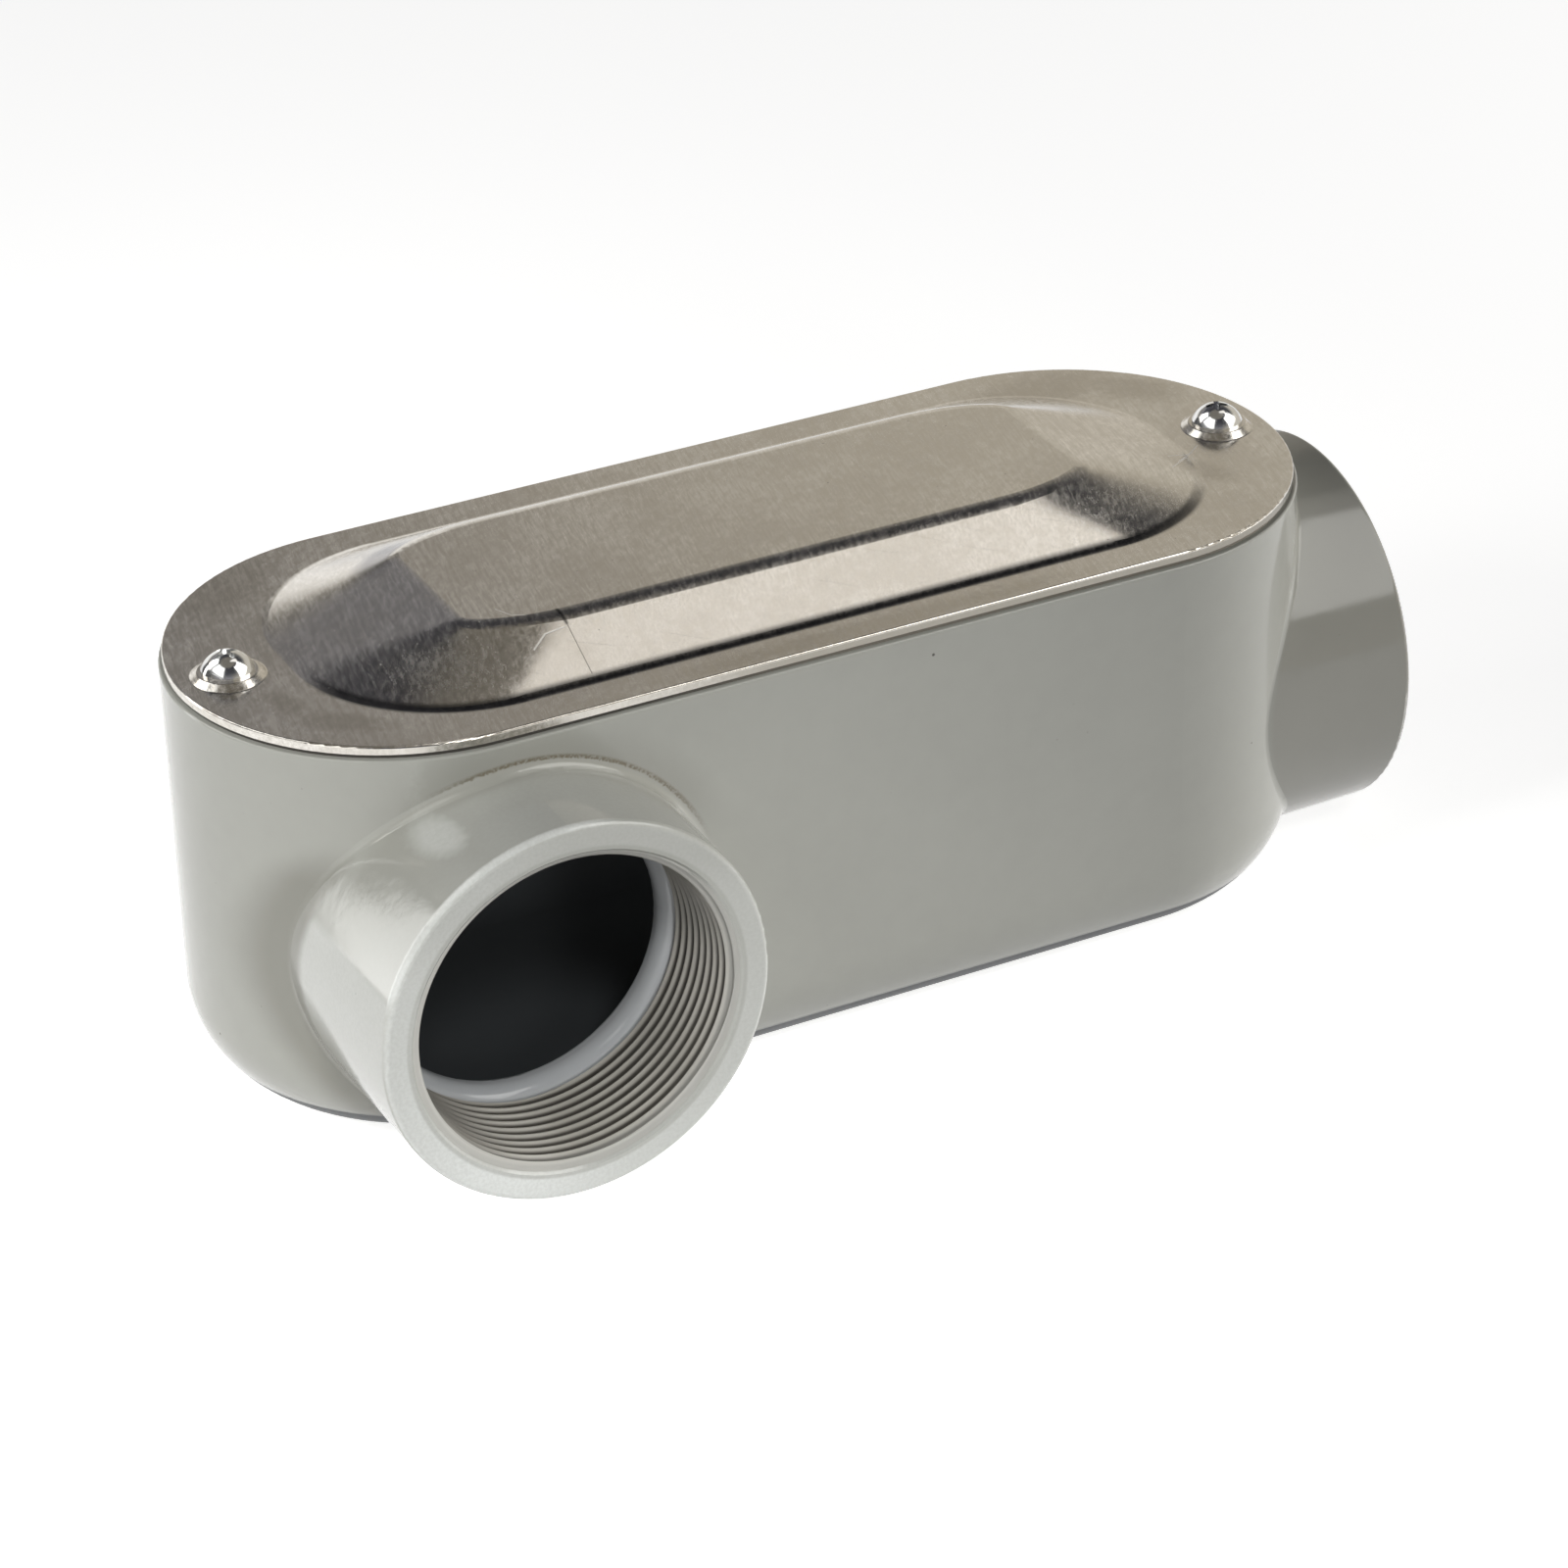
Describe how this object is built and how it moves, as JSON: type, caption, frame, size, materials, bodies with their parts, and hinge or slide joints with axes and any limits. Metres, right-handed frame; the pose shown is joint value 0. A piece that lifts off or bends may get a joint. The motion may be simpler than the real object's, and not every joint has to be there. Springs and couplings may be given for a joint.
{
  "type": "lr conduit body",
  "caption": "Long oval cast conduit fitting with a screwed-on pressed cover and two threaded hubs, one at the far end and one on the right-hand side at the near end.",
  "frame": {"origin": "middle of the oval housing's flat back, on the surface it lies on", "axes": "+Z from the back to the cover, +X along the housing to the end hub, -Y out of the side hub"},
  "size_m": [0.223, 0.1032, 0.0873],
  "materials": {
    "grey_enamel": "glossy warm-grey enamel on cast aluminium",
    "gasket_rubber": "matte black",
    "sheet_aluminium": "mill finish, satin",
    "plated_steel": "bright zinc plate"
  },
  "bodies": {
    "root": {"housing": "grey_enamel", "gasket": "gasket_rubber", "cover": "sheet_aluminium", "cover_screws": "plated_steel"}
  },
  "joints": []
}
